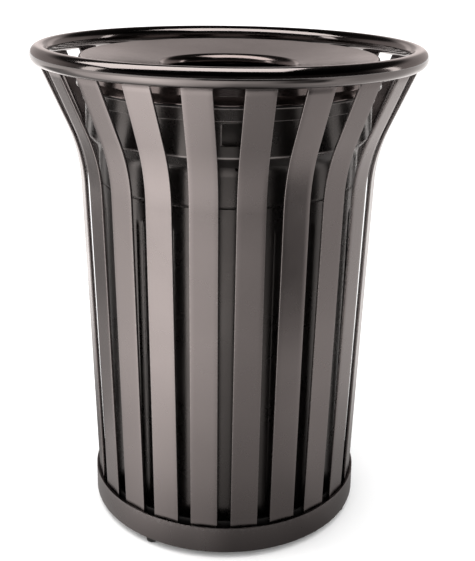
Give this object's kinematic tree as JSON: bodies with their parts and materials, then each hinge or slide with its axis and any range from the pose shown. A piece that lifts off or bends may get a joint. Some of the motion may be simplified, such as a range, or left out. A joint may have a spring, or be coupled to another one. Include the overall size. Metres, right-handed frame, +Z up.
{
  "type": "litter bin",
  "caption": "Round slatted steel litter bin, flared to a tube ring at the top, with a lift-out plastic liner, a loose dished lid with a round hole and screw feet.",
  "frame": {"origin": "centre of the base, on the ground", "axes": "+Z up along the bin's axis, -Y towards the front hand grip of the liner"},
  "size_m": [0.7112, 0.711, 0.8917],
  "materials": {
    "powder_coat": "gloss",
    "lid_coat": "satin",
    "liner_plastic": "matte",
    "glide_plastic": "matte",
    "zinc_steel": "satin"
  },
  "bodies": {
    "root": {"top_ring": "powder_coat", "base_band": "powder_coat", "floor_pan": "powder_coat", "foot_bosses": "powder_coat", "slat_01": "powder_coat", "slat_02": "powder_coat", "slat_03": "powder_coat", "slat_04": "powder_coat", "slat_05": "powder_coat", "slat_06": "powder_coat", "slat_07": "powder_coat", "slat_08": "powder_coat", "slat_09": "powder_coat", "slat_10": "powder_coat", "slat_11": "powder_coat", "slat_12": "powder_coat", "slat_13": "powder_coat", "slat_14": "powder_coat", "slat_15": "powder_coat", "slat_16": "powder_coat", "slat_17": "powder_coat", "slat_18": "powder_coat", "slat_19": "powder_coat", "slat_20": "powder_coat", "slat_21": "powder_coat", "slat_22": "powder_coat"},
    "liner": {"liner_shell": "liner_plastic"},
    "lid": {"lid_shell": "lid_coat", "lid_seat_ring": "lid_coat"},
    "foot_1": {"foot_glide_1": "glide_plastic", "foot_stud_1": "zinc_steel"},
    "foot_2": {"foot_glide_2": "glide_plastic", "foot_stud_2": "zinc_steel"},
    "foot_3": {"foot_glide_3": "glide_plastic", "foot_stud_3": "zinc_steel"},
    "foot_4": {"foot_glide_4": "glide_plastic", "foot_stud_4": "zinc_steel"}
  },
  "joints": [
    {"name": "liner_lift", "type": "slide", "parent": "root", "child": "liner", "axis": [0, 0, 1], "range_m": [0, 0.9]},
    {"name": "lid_lift", "type": "slide", "parent": "liner", "child": "lid", "axis": [0, 0, 1], "range_m": [0, 0.3]},
    {"name": "foot_1_turn", "type": "hinge", "parent": "root", "child": "foot_1", "pos_m": [-0.13139, -0.20442, 0.01], "axis": [0, 0, -1], "range_deg": [0, 2304]},
    {"name": "foot_2_turn", "type": "hinge", "parent": "root", "child": "foot_2", "pos_m": [0.22103, -0.10096, 0.01], "axis": [0, 0, -1], "range_deg": [0, 2304]},
    {"name": "foot_3_turn", "type": "hinge", "parent": "root", "child": "foot_3", "pos_m": [0.13139, 0.20442, 0.01], "axis": [0, 0, -1], "range_deg": [0, 2304]},
    {"name": "foot_4_turn", "type": "hinge", "parent": "root", "child": "foot_4", "pos_m": [-0.22103, 0.10096, 0.01], "axis": [0, 0, -1], "range_deg": [0, 2304]}
  ]
}
